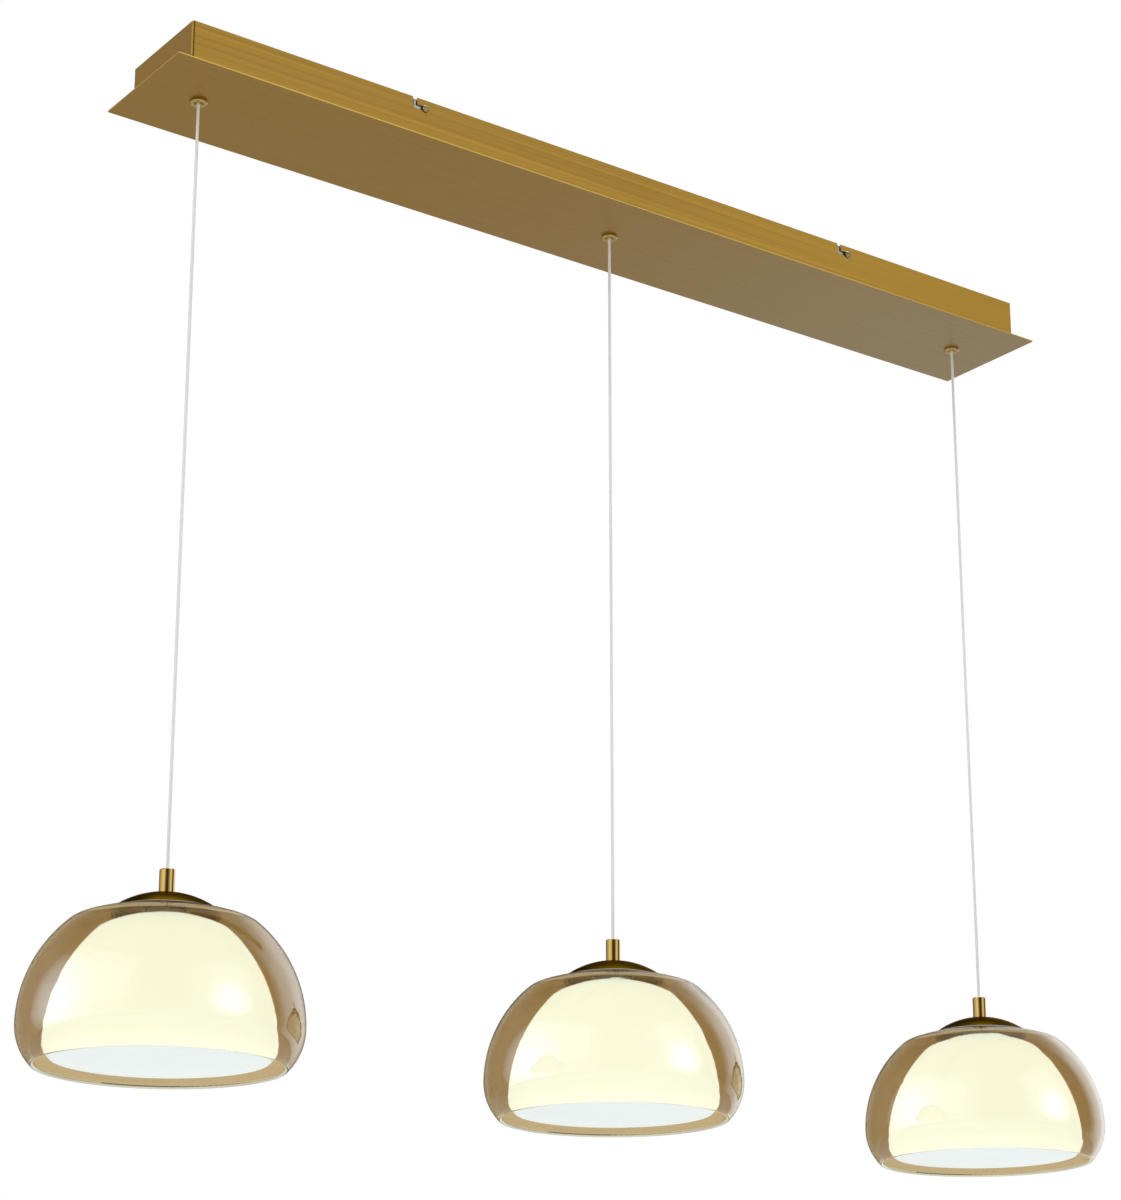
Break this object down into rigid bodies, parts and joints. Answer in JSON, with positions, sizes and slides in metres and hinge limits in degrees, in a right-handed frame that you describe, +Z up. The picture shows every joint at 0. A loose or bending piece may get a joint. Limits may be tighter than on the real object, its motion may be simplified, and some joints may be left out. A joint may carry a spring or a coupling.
{
  "type": "linear island pendant",
  "caption": "Long brass ceiling canopy with a row of lamps on clear cords, each an amber glass bowl over a lit opal bowl.",
  "frame": {"origin": "middle of the ceiling bracket's upper face, where it meets the ceiling", "axes": "+Z up into the ceiling, +X along the canopy to the right of the picture, +Y away from the viewer across the canopy"},
  "size_m": [1.23, 0.25, 0.9741],
  "materials": {
    "zinc_steel": "zinc plated",
    "fastener_steel": "bright zinc",
    "brushed_brass": "brushed lengthwise",
    "polished_brass": "polished",
    "aged_brass": "dark lacquered, spun",
    "driver_plastic": "fine texture",
    "terminal_plastic": "satin",
    "nylon": "natural",
    "clear_pvc": "clear jacket over tinned cores",
    "supply_wire": "insulated wire",
    "earth_wire": "insulated wire",
    "amber_glass": "transparent amber, fire-polished",
    "opal_acrylic": "opal",
    "opal_diffuser": "opal",
    "silicone": "translucent",
    "aluminium": "spun",
    "white_board": "white solder mask"
  },
  "bodies": {
    "bracket": {"ceiling_bracket": "zinc_steel", "lock_screws": "fastener_steel", "bracket_earth_screw": "fastener_steel"},
    "canopy": {"canopy_housing": "brushed_brass", "canopy_plate": "brushed_brass", "plate_nuts": "fastener_steel", "driver_case": "driver_plastic", "driver_covers": "driver_plastic", "terminal_block": "terminal_plastic", "terminal_screws": "fastener_steel", "mains_leads": "supply_wire", "earth_lead": "earth_wire", "gland_nuts": "polished_brass", "grip_screws": "fastener_steel", "output_lead_1": "clear_pvc", "cord_gland_1": "polished_brass", "cord_grip_1": "nylon", "output_lead_2": "clear_pvc", "cord_gland_2": "polished_brass", "cord_grip_2": "nylon", "output_lead_3": "clear_pvc", "cord_gland_3": "polished_brass", "cord_grip_3": "nylon"},
    "pendant_1_bend": {"cord_bend_1": "clear_pvc"},
    "pendant_1_cord": {"cord_1": "clear_pvc"},
    "pendant_1_lamp": {"stem_1": "polished_brass", "stem_bush_1": "nylon", "cap_1": "aged_brass", "glass_seals_1": "silicone", "glass_shade_1": "amber_glass", "opal_shade_1": "opal_acrylic", "diffuser_1": "opal_diffuser", "hollow_bolt_1": "fastener_steel", "led_carrier_1": "aluminium", "led_board_1": "white_board"},
    "pendant_2_bend": {"cord_bend_2": "clear_pvc"},
    "pendant_2_cord": {"cord_2": "clear_pvc"},
    "pendant_2_lamp": {"stem_2": "polished_brass", "stem_bush_2": "nylon", "cap_2": "aged_brass", "glass_seals_2": "silicone", "glass_shade_2": "amber_glass", "opal_shade_2": "opal_acrylic", "diffuser_2": "opal_diffuser", "hollow_bolt_2": "fastener_steel", "led_carrier_2": "aluminium", "led_board_2": "white_board"},
    "pendant_3_bend": {"cord_bend_3": "clear_pvc"},
    "pendant_3_cord": {"cord_3": "clear_pvc"},
    "pendant_3_lamp": {"stem_3": "polished_brass", "stem_bush_3": "nylon", "cap_3": "aged_brass", "glass_seals_3": "silicone", "glass_shade_3": "amber_glass", "opal_shade_3": "opal_acrylic", "diffuser_3": "opal_diffuser", "hollow_bolt_3": "fastener_steel", "led_carrier_3": "aluminium", "led_board_3": "white_board"}
  },
  "joints": [
    {"name": "canopy_unlock", "type": "slide", "parent": "bracket", "child": "canopy", "axis": [1, 0, 0], "range_m": [0, 0.012]},
    {"name": "pendant_1_swing", "type": "hinge", "parent": "canopy", "child": "pendant_1_bend", "pos_m": [-0.49, 0, -0.0445], "axis": [1, 0, 0], "range_deg": [-20, 20]},
    {"name": "pendant_1_sway", "type": "hinge", "parent": "pendant_1_bend", "child": "pendant_1_cord", "pos_m": [-0.49, 0, -0.0545], "axis": [0, 1, 0], "range_deg": [-12, 12]},
    {"name": "lamp_1_twist", "type": "hinge", "parent": "pendant_1_cord", "child": "pendant_1_lamp", "pos_m": [-0.49, 0, -0.7985], "axis": [0, 0, 1], "range_deg": [-180, 180]},
    {"name": "pendant_2_swing", "type": "hinge", "parent": "canopy", "child": "pendant_2_bend", "pos_m": [0, 0, -0.0445], "axis": [1, 0, 0], "range_deg": [-20, 20]},
    {"name": "pendant_2_sway", "type": "hinge", "parent": "pendant_2_bend", "child": "pendant_2_cord", "pos_m": [0, 0, -0.0545], "axis": [0, 1, 0], "range_deg": [-12, 12]},
    {"name": "lamp_2_twist", "type": "hinge", "parent": "pendant_2_cord", "child": "pendant_2_lamp", "pos_m": [0, 0, -0.7985], "axis": [0, 0, 1], "range_deg": [-180, 180]},
    {"name": "pendant_3_swing", "type": "hinge", "parent": "canopy", "child": "pendant_3_bend", "pos_m": [0.49, 0, -0.0445], "axis": [1, 0, 0], "range_deg": [-20, 20]},
    {"name": "pendant_3_sway", "type": "hinge", "parent": "pendant_3_bend", "child": "pendant_3_cord", "pos_m": [0.49, 0, -0.0545], "axis": [0, 1, 0], "range_deg": [-12, 12]},
    {"name": "lamp_3_twist", "type": "hinge", "parent": "pendant_3_cord", "child": "pendant_3_lamp", "pos_m": [0.49, 0, -0.7985], "axis": [0, 0, 1], "range_deg": [-180, 180]}
  ]
}
